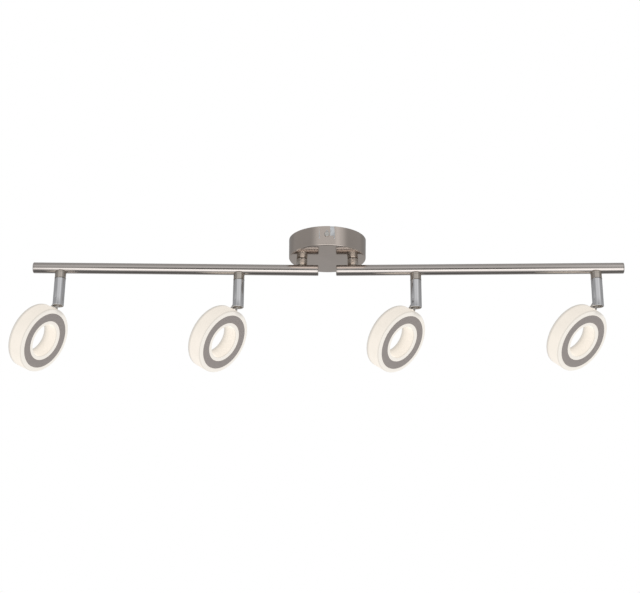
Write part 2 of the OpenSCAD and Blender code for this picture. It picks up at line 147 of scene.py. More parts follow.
SWIVEL_X = {side: JOINTS[f"arm_{side}_swivel"]["pos_m"][0] for side in SIDES}


# ---- Mesh tools ----


def rounded(corners, steps=4):
    """A closed outline from corners (x, y, radius), each turned into an arc of its radius."""
    points = []
    for i, (x, y, radius) in enumerate(corners):
        here = Vector((x, y))
        if radius <= 0:
            points.append((x, y))
            continue
        before = (Vector(corners[i - 1][:2]) - here).normalized()
        after = (Vector(corners[(i + 1) % len(corners)][:2]) - here).normalized()
        half = before.angle(after) / 2
        centre = here + (before + after).normalized() * radius / math.sin(half)
        start = here + before * radius / math.tan(half) - centre
        end = here + after * radius / math.tan(half) - centre
        turn = start.angle_signed(end)
        for k in range(steps + 1):
            a = -turn * k / steps
            cos, sin = math.cos(a), math.sin(a)
            spoke = Vector((start.x * cos - start.y * sin, start.x * sin + start.y * cos))
            points.append(tuple(centre + spoke))
    return points


def bridge(mesh, a, b):
    """Faces between two rows of vertices, where a row of one vertex is a pole."""
    count = max(len(a), len(b))
    if count == 1:
        return
    for i in range(count):
        j = (i + 1) % count
        if len(a) == 1:
            mesh.faces.new((a[0], b[j], b[i]))
        elif len(b) == 1:
            mesh.faces.new((a[i], a[j], b[0]))
        else:
            mesh.faces.new((a[i], a[j], b[j], b[i]))


def turned(mesh, rows, columns=96, centre=(0, 0)):
    """A closed surface about Z. A row is (radius, height), or a function of the angle giving both."""
    loops = []
    for row in rows:
        if not callable(row) and row[0] < 1e-7:
            loops.append([mesh.verts.new((*centre, row[1]))])
            continue
        loop = []
        for i in range(columns):
            a = 2 * math.pi * i / columns
            r, z = row(a) if callable(row) else row
            loop.append(mesh.verts.new((centre[0] + r * math.cos(a), centre[1] + r * math.sin(a), z)))
        loops.append(loop)
    for a, b in zip(loops, loops[1:] + loops[:1]):
        bridge(mesh, a, b)


def wave(x):
    """A triangle wave between 0 and 1."""
    return 1 - abs(2 * (x % 1) - 1)


def relief(radius, high, low, steps, rate, depth):
    """Rows between two heights, cut back by depth(angle, height), which fades out at both ends."""

    def row(k):
        z = high + (low - high) * k / steps
        fade = min(1, rate * k / steps, rate * (1 - k / steps))
        return lambda a: (radius - depth(a, z) * fade, z)

    return [row(k) for k in range(steps + 1)]


def knurl(radius, high, low, teeth):
    """Rows of a diamond knurl between two heights."""

    def depth(a, z):
        u, v = teeth * a / (2 * math.pi), z / KNURL_PITCH
        return KNURL_DEPTH * (1 - min(wave(u + v), wave(u - v)))

    return relief(radius, high, low, round((high - low) / KNURL_PITCH * 4), 8, depth)


def thread(radius, high, low, pitch, crest):
    """Rows of a screw thread between two heights."""

    def depth(a, z):
        return crest * (1 - wave(z / pitch - a / (2 * math.pi)))

    return relief(radius, high, low, max(4, round((high - low) / pitch * 6)), 9, depth)


def saddle(radius, tube, up, limit):
    """A circle on a tube's upper (up = 1) or lower (up = -1) surface, no further off than limit."""
    tube_z, tube_r = tube

    def point(a):
        rise = math.sqrt(max(tube_r**2 - (radius * math.sin(a)) ** 2, 0))
        return radius, up * max(up * (tube_z + up * rise), up * limit)

    return point


def prism(mesh, outline, low, high, axis="Z"):
    """A solid of constant outline, from low to high along axis."""
    place = {
        "Z": lambda u, v, w: (u, v, w),
        "Y": lambda u, v, w: (u, w, v),
        "X": lambda u, v, w: (w, u, v),
    }[axis]
    bottom = [mesh.verts.new(place(u, v, low)) for u, v in outline]
    top = [mesh.verts.new(place(u, v, high)) for u, v in outline]
    mesh.faces.new(bottom)
    mesh.faces.new(top)
    bridge(mesh, bottom, top)


def block(mesh, low, high):
    """A box between two corners."""
    outline = [(low[0], low[1]), (high[0], low[1]), (high[0], high[1]), (low[0], high[1])]
    prism(mesh, outline, low[2], high[2])


def disc(radius, columns=48, centre=(0, 0)):
    """A circle's outline."""
    turns = [2 * math.pi * i / columns for i in range(columns)]
    return [(centre[0] + radius * math.cos(a), centre[1] + radius * math.sin(a)) for a in turns]


def rect(x0, y0, x1, y1, radius=0.0, steps=4):
    """A rectangle's outline with rounded corners."""
    corners = [(x0, y0, radius), (x1, y0, radius), (x1, y1, radius), (x0, y1, radius)]
    return rounded(corners, steps)


def link(name, data, place=None):
    """An object of that data in the scene, at place."""
    obj = bpy.data.objects.new(name, data)
    bpy.context.scene.collection.objects.link(obj)
    obj.matrix_world = place or Matrix.Identity(4)
    return obj


def to_data(name, mesh):
    """Mesh data from a bmesh, which is used up."""
    data = bpy.data.meshes.new(name)
    mesh.to_mesh(data)
    mesh.free()
    return data


def solid(name, build, place=None):
    """An object whose mesh build(mesh) fills in."""
    mesh = bmesh.new()
    build(mesh)
    bmesh.ops.recalc_face_normals(mesh, faces=mesh.faces)
    return link(name, to_data(name, mesh), place)


def spun(name, corners, steps, columns, place=None):
    """An object turned about Z from an outline with rounded corners."""
    return solid(name, lambda mesh: turned(mesh, rounded(corners, steps), columns), place)


def slab(name, place, outline, low, high, axis="Z"):
    """An object of constant outline, in the frame place or the world's."""
    return solid(name, lambda mesh: prism(mesh, outline, low, high, axis), place)


def applied(obj):
    """An object's mesh after its modifiers, or a curve's after its bevel."""
    bpy.context.view_layer.update()
    graph = bpy.context.evaluated_depsgraph_get()
    return bpy.data.meshes.new_from_object(obj.evaluated_get(graph))


def settle(obj):
    """Applies an object's modifiers."""
    done, spent = applied(obj), obj.data
    obj.modifiers.clear()
    obj.data = done
    bpy.data.meshes.remove(spent)
    return obj


def combine(obj, other, operation):
    """Cuts, joins or intersects obj with another object, which is used up."""
    step = obj.modifiers.new("boolean", "BOOLEAN")
    step.operation = operation
    step.solver = "EXACT"
    step.object = other
    settle(obj)
    bpy.data.objects.remove(other)
    return obj


def drill(obj, place, outline, low, high, axis="Z"):
    """Cuts a slab of that outline out of an object."""
    return combine(obj, slab("cutter", place, outline, low, high, axis), "DIFFERENCE")


def weld(obj, other):
    return combine(obj, other, "UNION")


def join(name, parts):
    """One object from several, in the world's frame."""
    mesh = bmesh.new()
    for part in parts:
        part.data.transform(part.matrix_world)
        mesh.from_mesh(part.data)
        bpy.data.objects.remove(part)
    return link(name, to_data(name, mesh))


def ease(obj, width, angle=40, segments=2):
    """Rounds off an object's sharp edges."""
    step = obj.modifiers.new("bevel", "BEVEL")
    step.width = width
    step.segments = segments
    step.limit_method = "ANGLE"
    step.angle_limit = math.radians(angle)
    step.use_clamp_overlap = True
    return settle(obj)


def lead_along(name, points, place=None):
    """A round lead through points, with eased bends and closed ends."""
    curve = bpy.data.curves.new(name, "CURVE")
    curve.dimensions = "3D"
    curve.bevel_depth = LEAD_R
    curve.bevel_resolution = 5
    curve.resolution_u = 8
    curve.use_fill_caps = True
    spline = curve.splines.new("BEZIER")
    spline.bezier_points.add(len(points) - 1)
    for i, knot in enumerate(spline.bezier_points):
        here = Vector(points[i])
        before = Vector(points[max(i - 1, 0)])
        after = Vector(points[min(i + 1, len(points) - 1)])
        along = (after - before).normalized()
        knot.co = here
        knot.handle_left = here - along * (here - before).length * LEAD_EASE
        knot.handle_right = here + along * (after - here).length * LEAD_EASE
    obj = link(name, curve, place)
    data = applied(obj)
    bpy.data.objects.remove(obj)
    bpy.data.curves.remove(curve)
    return link(name, data, place)


def dress(obj, body, material, nodes=(), sharp=35):
    """Gives a piece its material and shading, fastens it to its body, and hides the CAD nodes that it stands for.
    """
    obj.data.materials.clear()
    obj.data.materials.append(material)
    obj.data.shade_smooth()
    obj.data.set_sharp_from_angle(angle=math.radians(sharp))
    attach(obj, body)
    if nodes:
        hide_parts(*nodes)
    return obj


# ---- Materials ----


def rgb(r, g, b):
    return (r, g, b, 1.0)


class Nodes:
    """Shader nodes in one tree, fed with numbers or with other nodes' outputs."""

    def __init__(self, tree):
        self.tree = tree

    def feed(self, socket, value):
        if isinstance(value, bpy.types.NodeSocket):
            self.tree.links.new(value, socket)
        else:
            socket.default_value = value

    def node(self, kind, settings=(), **inputs):
        made = self.tree.nodes.new("ShaderNode" + kind)
        for key, value in dict(settings).items():
            setattr(made, key, value)
        for socket, value in inputs.items():
            self.feed(made.inputs[socket.replace("_", " ")], value)
        return made

    def math(self, operation, *values):
        made = self.node("Math", {"operation": operation})
        for socket, value in zip(made.inputs, values):
            self.feed(socket, value)
        return made.outputs[0]

    def product(self, a, b):
        return self.math("MULTIPLY", a, b)

    def spread(self, value, low, high, to_low=0, to_high=1, shape="LINEAR"):
        """Maps low..high to to_low..to_high, clamped."""
        made = self.node("MapRange", {"interpolation_type": shape}, Value=value)
        for socket, number in zip(made.inputs[1:5], (low, high, to_low, to_high)):
            self.feed(socket, number)
        return made.outputs[0]

    def blend(self, factor, a, b):
        made = self.node("Mix", {"data_type": "RGBA"}, Factor=factor)
        self.feed(made.inputs[6], a)
        self.feed(made.inputs[7], b)
        return made.outputs[2]


class Finish(Nodes):
    """A node material built up from the Principled shader."""

    def __init__(self, name, **values):
        self.material = bpy.data.materials.new(name)
        self.material.use_nodes = True
        super().__init__(self.material.node_tree)
        self.shader = self.tree.nodes["Principled BSDF"]
        for socket, value in values.items():
            self.set(socket.replace("_", " "), value)

    def set(self, socket, value):
        self.feed(self.shader.inputs[socket], value)

    def grain(self, lumps, detail=3.0, rough=0.55):
        """Noise with so many lumps to a metre along each of the object's own axes."""
        own = self.node("TexCoord").outputs["Object"]
        scale = lumps if isinstance(lumps, tuple) else (lumps, lumps, lumps)
        scaled = self.node("Mapping", Vector=own, Scale=scale).outputs[0]
        made = self.node("TexNoise", Vector=scaled, Scale=1.0, Detail=detail, Roughness=rough)
        return made.outputs["Fac"]

    def reach(self):
        """Object coordinates, and the distance from the object's own axis Z."""
        axes = self.node("SeparateXYZ", Vector=self.node("TexCoord").outputs["Object"])
        across = self.node("CombineXYZ", X=axes.outputs["X"], Y=axes.outputs["Y"])
        length = self.node("VectorMath", {"operation": "LENGTH"})
        self.feed(length.inputs[0], across.outputs[0])
        return axes.outputs, length.outputs["Value"]

    def tint(self, factor, colour, share):
        """A base colour that gets darker and lighter by that share."""
        dark = rgb(*[c * (1 - share) for c in colour])
        light = rgb(*[min(c * (1 + share), 1) for c in colour])
        self.set("Base Color", self.blend(factor, dark, light))

    def emboss(self, height, depth):
        """The height as relief, depth in mm."""
        self.set("Normal", self.node("Bump", Height=height, Strength=1.0, Distance=depth * MM).outputs[0])
        return self.material

    def surface(self, fine, rough, swing, depth):
        """Roughness that follows a fine grain, and that grain as relief."""
        self.set("Roughness", self.spread(fine, 0.3, 0.7, rough - swing, rough + swing))
        return self.emboss(fine, depth)


def metal(name, colour, rough, lines, depth, swing=0.05, mottle=0.06):
    """A plated metal with so many grain lines to a metre along each of its own axes."""
    skin = Finish(name, Metallic=1.0, Roughness=rough)
    grain = skin.grain(lines, 4.0, 0.7)
    tone = skin.math("ADD", skin.product(grain, 0.6), skin.product(skin.grain(30, 3.0, 0.5), 0.4))
    skin.tint(skin.spread(tone, 0.35, 0.65), colour, mottle)
    return skin.surface(grain, rough, swing, depth)


def plastic(name, colour, rough, lumps, depth, variation=0.04, **more):
    """A moulded plastic with a fine matt grain."""
    skin = Finish(name, Roughness=rough, **more)
    skin.tint(skin.spread(skin.grain(45), 0.3, 0.7), colour, variation)
    return skin.surface(skin.grain(lumps, 2.0), rough, 0.06, depth)


# The opal's glow
OPAL_WALL = rgb(0.565, 0.512, 0.445), rgb(0.597, 0.54, 0.472)  # its two ends, cloud by cloud
OPAL_BORE_SHADE = rgb(0.46, 0.415, 0.355)  # painted shade inside the hole, towards the back
OPAL_SEAM = rgb(0.38, 0.345, 0.30)  # along the rear cover
OPAL_FACE = rgb(0.53, 0.497, 0.452)  # front borders
OPAL_CORNER = rgb(0.40, 0.365, 0.315)  # between the wall and the front
OPAL_SHADE = rgb(0.30, 0.28, 0.26)  # painted shadow on the front beside the knuckle


def opal(name, back, front, hole):
    """Opal acrylic lit from inside, with a glow that depends on where on the ring it is, and with painted shade
    inside the hole and beside the knuckle.
    """
    skin = Finish(name, Base_Color=rgb(0.52, 0.50, 0.47), Emission_Strength=1.0)
    axes, reach = skin.reach()
    depth = axes["Z"]
    glow = skin.blend(skin.spread(skin.grain(60, 2.0), 0.3, 0.7), *OPAL_WALL)
    # Painted shade: the glow gets darker inside the hole, towards the back.
    inner = skin.spread(reach, hole + 1.5 * MM, hole + RING_WALL, 1, 0)
    rear = skin.product(inner, skin.spread(depth, -0.75 * front, -0.1 * front, 1, 0))
    glow = skin.blend(rear, glow, OPAL_BORE_SHADE)
    glow = skin.blend(skin.spread(depth, back + 1.2 * MM, back + 3 * MM, 1, 0), glow, OPAL_SEAM)
    face = skin.spread(depth, front - 2.3 * MM, front - 0.5 * MM)
    glow = skin.blend(face, glow, OPAL_FACE)
    # Painted shadow of the knuckle: the front border darkens round it.
    beside = skin.spread(skin.math("ABSOLUTE", axes["Y"]), 5 * MM, 12 * MM, 1, 0)
    shade = skin.product(beside, skin.spread(axes["X"], -1.9 * hole, -1.7 * hole, 1, 0))
    shade = skin.product(shade, skin.spread(depth, front - 4 * MM, front - 2 * MM, 0, 0.8))
    glow = skin.blend(shade, glow, OPAL_SHADE)
    corner = skin.product(skin.product(face, skin.math("SUBTRACT", 1.0, face)), 4.0)
    skin.set("Emission Color", skin.blend(corner, glow, OPAL_CORNER))
    return skin.surface(skin.grain(900, 2.0), 0.31, 0.05, 0.003)


def polished_tube(name, radius):
    """Chrome plate outside, and bare turned metal on the end face and in the slot and bore, made dark and rough
    there as painted shade.
    """
    skin = Finish(name, Metallic=1.0)
    # Painted shade: the end face, the slot and the bore are dark.
    inside = skin.spread(skin.reach()[1], radius - 0.9 * MM, radius - 0.6 * MM, 1, 0)
    fine = skin.grain(TURNED_FINE, 4.0, 0.7)
    tone = skin.spread(fine, 0.35, 0.65)
    plate = skin.blend(tone, rgb(0.762, 0.762, 0.777), rgb(0.778, 0.778, 0.793))
    skin.set("Base Color", skin.blend(inside, plate, rgb(0.31, 0.29, 0.27)))
    smooth = skin.spread(fine, 0.3, 0.7, 0.05, 0.09)
    skin.set("Roughness", skin.math("ADD", smooth, skin.product(inside, 0.3)))
    return skin.emboss(fine, 0.0006)


def banded_lead(name, base, stripe):
    """Insulation in one colour, or in two with the second as a stripe along it."""
    skin = Finish(name, Roughness=0.4)
    side = skin.math("SINE", skin.product(skin.reach()[0]["Z"], 2600.0))
    skin.set("Base Color", skin.blend(skin.spread(side, -0.1, 0.1), rgb(*base), rgb(*stripe)))
    return skin.surface(skin.grain(700, 2.0), 0.4, 0.06, 0.01)


BRUSHED_ALONG_TUBE = (90, 90, 5200)
BRUSHED_ROUND_WALL = (70, 70, 5200)
TURNED_FINE = (900, 900, 900)
NICKEL = (0.60, 0.555, 0.525)
WALL_NICKEL = (0.615, 0.545, 0.495)
WARM_NICKEL = (0.585, 0.533, 0.48)

satin = metal("satin_nickel", NICKEL, 0.17, BRUSHED_ALONG_TUBE, 0.0005, 0.04, 0.03)
satin_face = metal("satin_nickel_face", NICKEL, 0.19, TURNED_FINE, 0.0008, 0.04)
satin_wall = metal("satin_nickel_wall", WALL_NICKEL, 0.12, BRUSHED_ROUND_WALL, 0.0005, 0.03, 0.04)
bright_nickel = metal("bright_nickel", WARM_NICKEL, 0.12, TURNED_FINE, 0.0012, 0.04)
chrome = polished_tube("chrome", radii("head1_post", post_frame(1))[1])
pin_chrome = metal("pin_chrome", (0.77, 0.77, 0.785), 0.14, TURNED_FINE, 0.0006, 0.02, 0.01)
# Nickel lighter than the rest, on the whole knuckle: a painted highlight for the light that its tongue catches.
knuckle_nickel = metal("knuckle_nickel", (0.80, 0.76, 0.71), 0.26, TURNED_FINE, 0.002, 0.05)
zinc = metal("zinc_steel", (0.83, 0.85, 0.87), 0.3, (700, 90, 700), 0.003, 0.08, 0.08)
screw_metal = metal("bright_screw", (0.66, 0.64, 0.61), 0.24, TURNED_FINE, 0.002)
dark_steel = metal("dark_steel", (0.22, 0.22, 0.23), 0.38, TURNED_FINE, 0.003)
brass = metal("brass", (0.76, 0.60, 0.31), 0.26, TURNED_FINE, 0.002, 0.06, 0.08)
grey_trim = plastic("grey_trim", (0.478, 0.431, 0.408), 0.5, 2600, 0.006, 0.03, Metallic=0.25)
# The pale rear cover glows faintly: painted light, standing in for the ring's light showing through it.
cover_painted_glow = {"Emission_Color": rgb(1.0, 0.95, 0.87), "Emission_Strength": 0.27}
cover_pale = plastic("pale_cover", (0.55, 0.53, 0.50), 0.42, 1800, 0.006, 0.03, **cover_painted_glow)
case_white = plastic("driver_plastic", (0.80, 0.80, 0.77), 0.42, 1600, 0.012)
terminal_white = plastic("terminal_plastic", (0.86, 0.86, 0.82), 0.3, 900, 0.006)
nylon = plastic("nylon", (0.84, 0.81, 0.72), 0.4, 900, 0.008)
board_green = plastic("circuit_board", (0.035, 0.16, 0.075), 0.32, 2500, 0.01, 0.12)
board_white = plastic("led_board", (0.86, 0.86, 0.83), 0.4, 2500, 0.006)
# A lead's colour, and its stripe's if it has one
LEADS = {
    "live": [(0.19, 0.075, 0.035)],
    "neutral": [(0.03, 0.12, 0.42)],
    "earth": [(0.05, 0.30, 0.07), (0.72, 0.60, 0.05)],
    "plus": [(0.48, 0.025, 0.02)],
    "minus": [(0.02, 0.02, 0.022)],
}
lead_skin = {name: banded_lead(f"lead_{name}", pair[0], pair[-1]) for name, pair in LEADS.items()}


# ---- Canopy group ----

canopy_low, canopy_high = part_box("canopy")
CANOPY_R, CANOPY_FLOOR = canopy_high.x, canopy_low.z
bracket_low, bracket_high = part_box("ceiling_bracket")
screws_low, screws_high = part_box("canopy_screws")
SCREW_Z = (screws_low.z + screws_high.z) / 2
SCREW_HEAD_R = (screws_high.x - screws_low.x) / 2
case_low, case_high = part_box("driver_case")
lid_low, lid_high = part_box("driver_lid")
EARTH_Y = case_low.y + 1 * MM
PORT_X, PORT_Z = (case_high.x - case_low.x) * 0.36, case_high.z - 4 * MM  # lead holes in its side
terminal_low, terminal_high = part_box("mains_terminal")
POLE_PITCH = (terminal_high.x - terminal_low.x) / 3
POLES = (-POLE_PITCH, 0, POLE_PITCH)
POLE_ROWS = [terminal_low.y + (terminal_high.y - terminal_low.y) * share for share in (0.25, 0.75)]


def pan_screw(name, shank, place):
    """Cross-recess pan-head screw: its seat at z = 0, the head above and the threaded shank below."""
    top = SCREW_HEAD_T
    head = [(0, 0, 0), (SCREW_HEAD_R, 0, 0.15 * MM), (SCREW_HEAD_R, top, 1.15 * MM), (0, top, 0)]
    made = solid(name, lambda mesh: turned(mesh, rounded(head, 6), 64), place)
    narrow, wide = 0.42 * MM, 1.9 * MM
    for x, y in ((narrow, wide), (wide, narrow)):
        drill(made, place, rect(-x, -y, x, y, 0.2 * MM, 2), top - 1.1 * MM, top + PAST)
    rows = [(0, 0.05 * MM)]
    rows += thread(SCREW_SHANK_R, 0.05 * MM, -shank + 0.4 * MM, 0.7 * MM, 0.4 * MM)
    rows += [(SCREW_SHANK_R - 0.7 * MM, -shank), (0, -shank)]
    return weld(made, solid("shank", lambda mesh: turned(mesh, rows, 32), place))


def canopy_shell():
    """The drawn pan, with its screw and bush holes and the notches in its rim."""
    edge = CANOPY_R - CANOPY_DRAFT
    lip = 0.3 * MM
    outline = [
        (CANOPY_R, 0, lip),
        (edge, CANOPY_FLOOR, CANOPY_BEND),
        (0, CANOPY_FLOOR, 0),
        (0, CANOPY_FLOOR + SHEET, 0),
        (edge - SHEET, CANOPY_FLOOR + SHEET, CANOPY_BEND - SHEET),
        (CANOPY_R - SHEET, 0, lip),
    ]
    shell = spun("canopy_shell", outline, 8, 160)
    # A keyhole for the side screw and a notch beside it, at the front and again at the back
    keyhole_top = SCREW_Z + 4.6 * MM
    small, big = 1.2 * MM, SCREW_SHANK_R + 0.3 * MM
    holes = [
        disc(big, 32, (0, SCREW_Z)),
        disc(small, 24, (0, keyhole_top)),
        rect(-small, SCREW_Z, small, keyhole_top),
        rect(NOTCH_X, -NOTCH_H, NOTCH_X + NOTCH_W, 2 * MM, 0.5 * MM),
    ]
    for place in (Matrix.Identity(4), Matrix.Rotation(math.pi, 4, "Z")):
        for hole in holes:
            drill(shell, place, hole, -CANOPY_R - 2 * MM, -CANOPY_R + 4 * MM, "Y")
    for x in SWIVEL_X.values():
        hole = disc(BUSH_R, 48, (x, 0))
        drill(shell, None, hole, CANOPY_FLOOR - PAST, CANOPY_FLOOR + 3 * SHEET)
    dress(shell, "canopy", satin_wall, ["canopy"])


def ceiling_bracket():
    """Folded strip with two legs for the side screws, and a tab in each of the canopy's notches."""
    half_w, end, drop = bracket_high.x, bracket_high.y, bracket_low.z
    inside = end - BRACKET_T
    bend = 2.2 * MM
    half = [(end, drop, 0), (inside, drop, 0), (inside, -BRACKET_T, bend - BRACKET_T)]
    corners = [(-end, drop, 0), (-end, 0, bend), (end, 0, bend), *half]
    corners += [(-y, z, radius) for y, z, radius in half[:0:-1]]
    strip = solid("bracket_strip", lambda mesh: prism(mesh, rounded(corners, 6), -half_w, half_w, "X"))
    slots = next(m for m in frame["record"]["mounts"] if m["name"] == "ceiling_screws")["dims"]
    w, reach = slots["hole_r_mm"] * MM, slots["slot_length_mm"] / 2 * MM
    offset = slots["spacing_y_mm"] / 2 * MM
    holes = [disc(5 * MM, 48), disc(SCREW_SHANK_R, 24, (0, EARTH_Y))]
    holes += [rect(-w, y - reach, w, y + reach, w * 0.999, 10) for y in (-offset, offset)]
    for hole in holes:
        drill(strip, None, hole, -BRACKET_T - 1.5 * MM, PAST)
    for y in (-end, end):
        drill(strip, None, disc(SCREW_SHANK_R, 24, (0, SCREW_Z)), y - 5 * MM, y + 5 * MM, "Y")
    low = (NOTCH_X + NOTCH_GAP, SHEET - CANOPY_R, -BRACKET_T)
    high = (NOTCH_X + NOTCH_W - NOTCH_GAP, 3 * MM - end, 0)
    for place in (Matrix.Identity(4), Matrix.Rotation(math.pi, 4, "Z")):
        weld(strip, solid("tab", lambda mesh: block(mesh, low, high), place))
    ease(strip, 0.2 * MM, 60)
    dress(strip, "canopy", zinc, ["ceiling_bracket"])


def canopy_screws():
    """Two screws through the canopy's wall into the bracket's legs."""
    seat = CANOPY_R - CANOPY_DRAFT * SCREW_Z / CANOPY_FLOOR
    made = []
    for angle in (-math.pi / 2, math.pi / 2):
        out = Matrix.Translation((seat, 0, SCREW_Z)) @ Matrix.Rotation(math.pi / 2, 4, "Y")
        made.append(pan_screw("screw", 6.5 * MM, Matrix.Rotation(angle, 4, "Z") @ out))
    both = join("canopy_side_screws", made)
    dress(both, "canopy", screw_metal, ["canopy_screws"])


def swivel_bushes():
    """Flanged bushes in the canopy's floor, which the stems turn in."""
    inside = CANOPY_FLOOR + SHEET
    top = inside + BUSH_FLANGE_T
    flange = 8.5 * MM
    bore = THREAD_R + 0.06 * MM
    outline = [
        (bore, CANOPY_FLOOR, 0.15 * MM),
        (BUSH_R, CANOPY_FLOOR, 0.15 * MM),
        (BUSH_R, inside, 0),
        (flange, inside, 0.2 * MM),
        (flange, top, 0.4 * MM),
        (bore, top, 0.3 * MM),
    ]

    def build(mesh):
        for x in SWIVEL_X.values():
            turned(mesh, rounded(outline, 3), 64, (x, 0))

    dress(solid("bush_pair", build), "canopy", nylon, ["swivel_bushes"])


def driver():
    """The driver's open case with lead holes and two hooks in its side, and its vented lid."""
    low, high = case_low, case_high
    side = (low.y - PAST, low.y + 3 * MM)

    def inset(gap, radius, steps=4):
        return rect(low.x + gap, low.y + gap, high.x - gap, high.y - gap, radius, steps)

    outer = inset(0, 2.2 * MM, 5)
    case = slab("driver_shell", None, outer, low.z, high.z)
    drill(case, None, inset(DRIVER_WALL, 0.8 * MM), low.z + DRIVER_WALL, high.z + PAST)
    for x in (-PORT_X, 0, PORT_X):
        drill(case, None, disc(2.3 * MM, 32, (x, PORT_Z)), *side, "Y")
    for x in (-14 * MM, 14 * MM):
        hook = rect(x - 2.5 * MM, high.z - 5 * MM, x + 2.5 * MM, high.z - 3.2 * MM, 0.3 * MM, 2)
        drill(case, None, hook, *side, "Y")
    ease(case, 0.25 * MM, 50)
    dress(case, "canopy", case_white, ["driver_case"])

    base, top = high.z, lid_high.z
    lip = inset(DRIVER_WALL + 0.15 * MM, 0.6 * MM, 3)
    lid = slab("driver_cover", None, outer, base, top)
    weld(lid, slab("lip", None, lip, lid_low.z, base + 0.2 * MM))
    drill(lid, None, inset(3 * MM, 1.2 * MM), top - 0.35 * MM, top + PAST)
    vent_w, vent_end = 0.6 * MM, 8 * MM
    for i in range(6):
        x = -8 * MM + i * 3.2 * MM
        vent = rect(x - vent_w, low.y + vent_end, x + vent_w, high.y - vent_end, 0.58 * MM)
        drill(lid, None, vent, top - 1.1 * MM, top + PAST)
    ease(lid, 0.2 * MM, 50)
    dress(lid, "canopy", case_white, ["driver_lid"])


def mains_terminal():
    """Three poles on a web, each with two screw holes below and a wire hole through it."""
    low, high = terminal_low, terminal_high
    middle = (low.z + high.z) / 2
    half = POLE_PITCH / 2 - 0.45 * MM
    web = (low.x + MM, low.y + 2 * MM, low.z + 2.4 * MM), (high.x - MM, high.y - 2 * MM, high.z)
    body = solid("terminal_block", lambda mesh: block(mesh, *web))
    for x in POLES:
        outline = rect(x - half, low.y, x + half, high.y, 1.2 * MM)
        weld(body, slab("pole", None, outline, low.z, high.z))
    for x in POLES:
        for y in POLE_ROWS:
            drill(body, None, disc(2.1 * MM, 28, (x, y)), low.z - PAST, low.z + 4 * MM)
        drill(body, None, disc(1.6 * MM, 28, (x, middle)), low.y - PAST, high.y + PAST, "Y")
    ease(body, 0.25 * MM, 50)
    dress(body, "canopy", terminal_white, ["mains_terminal"])


def terminal_screws():
    """A slotted clamp screw in each of the terminal's screw holes."""
    low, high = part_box("terminal_screws")
    radius = 1.9 * MM
    profile = [(0, low.z, 0), (radius, low.z, 0.3 * MM), (radius, high.z, 0.1 * MM), (0, high.z, 0)]
    made = []
    for x in POLES:
        for y in POLE_ROWS:
            screw = solid("screw", lambda mesh: turned(mesh, rounded(profile, 3), 32, (x, y)))
            groove = rect(x - 2.5 * MM, y - 0.3 * MM, x + 2.5 * MM, y + 0.3 * MM)
            drill(screw, None, groove, low.z - PAST, low.z + 0.8 * MM)
            made.append(screw)
    dress(join("terminal_clamp_screws", made), "canopy", brass, ["terminal_screws"])


def earth_screw():
    """The bracket's earth screw, head down."""
    flip = Matrix.Translation((0, EARTH_Y, -BRACKET_T)) @ Matrix.Rotation(math.pi, 4, "X")
    screw = pan_screw("earth_stud", BRACKET_T - 0.1 * MM, flip)
    dress(screw, "canopy", brass, ["earth_screw"])


def canopy_leads():
    """Terminal to driver, terminal to earth screw, and driver to each stem's mouth."""
    pole_y, side_y = terminal_high.y - 1.5 * MM, case_low.y
    pole_z = (terminal_low.z + terminal_high.z) / 2
    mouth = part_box("left_stem")[1].z
    port_y = case_low.y + DRIVER_WALL
    for name, out in (("live", -1), ("neutral", 1)):
        start = out * POLE_PITCH
        route = [
            (start, pole_y, pole_z),
            (start, pole_y + 5 * MM, pole_z),
            (out * 2.2 * MM, side_y - 6 * MM, PORT_Z),
            (out * MM, side_y - 3 * MM, PORT_Z),
            (out * MM, port_y, PORT_Z),
        ]
        lead = lead_along(f"{name}_lead", route)
        dress(lead, "canopy", lead_skin[name], ["canopy_leads"])
    route = [
        (0, pole_y, pole_z),
        (0, pole_y + 5 * MM, pole_z),
        (0, side_y - 8 * MM, -4.5 * MM),
        (0, side_y - 3.6 * MM, -3.2 * MM),
    ]
    dress(lead_along("earth_lead", route), "canopy", lead_skin["earth"])
    for side, x in SWIVEL_X.items():
        port = math.copysign(PORT_X, x)
        for name, core in (("plus", -MM), ("minus", MM)):
            route = [
                (port + core, port_y, PORT_Z),
                (port, side_y - 4 * MM, PORT_Z + core),
                (x, 4 * MM, -9.5 * MM + core),
                (x + core, 0, -11 * MM + core / 2),
                (x + core, 0, mouth + MM),
            ]
            lead = lead_along(f"{side}_{name}_feed", route)
            dress(lead, "canopy", lead_skin[name])


# ---- Arm groups ----


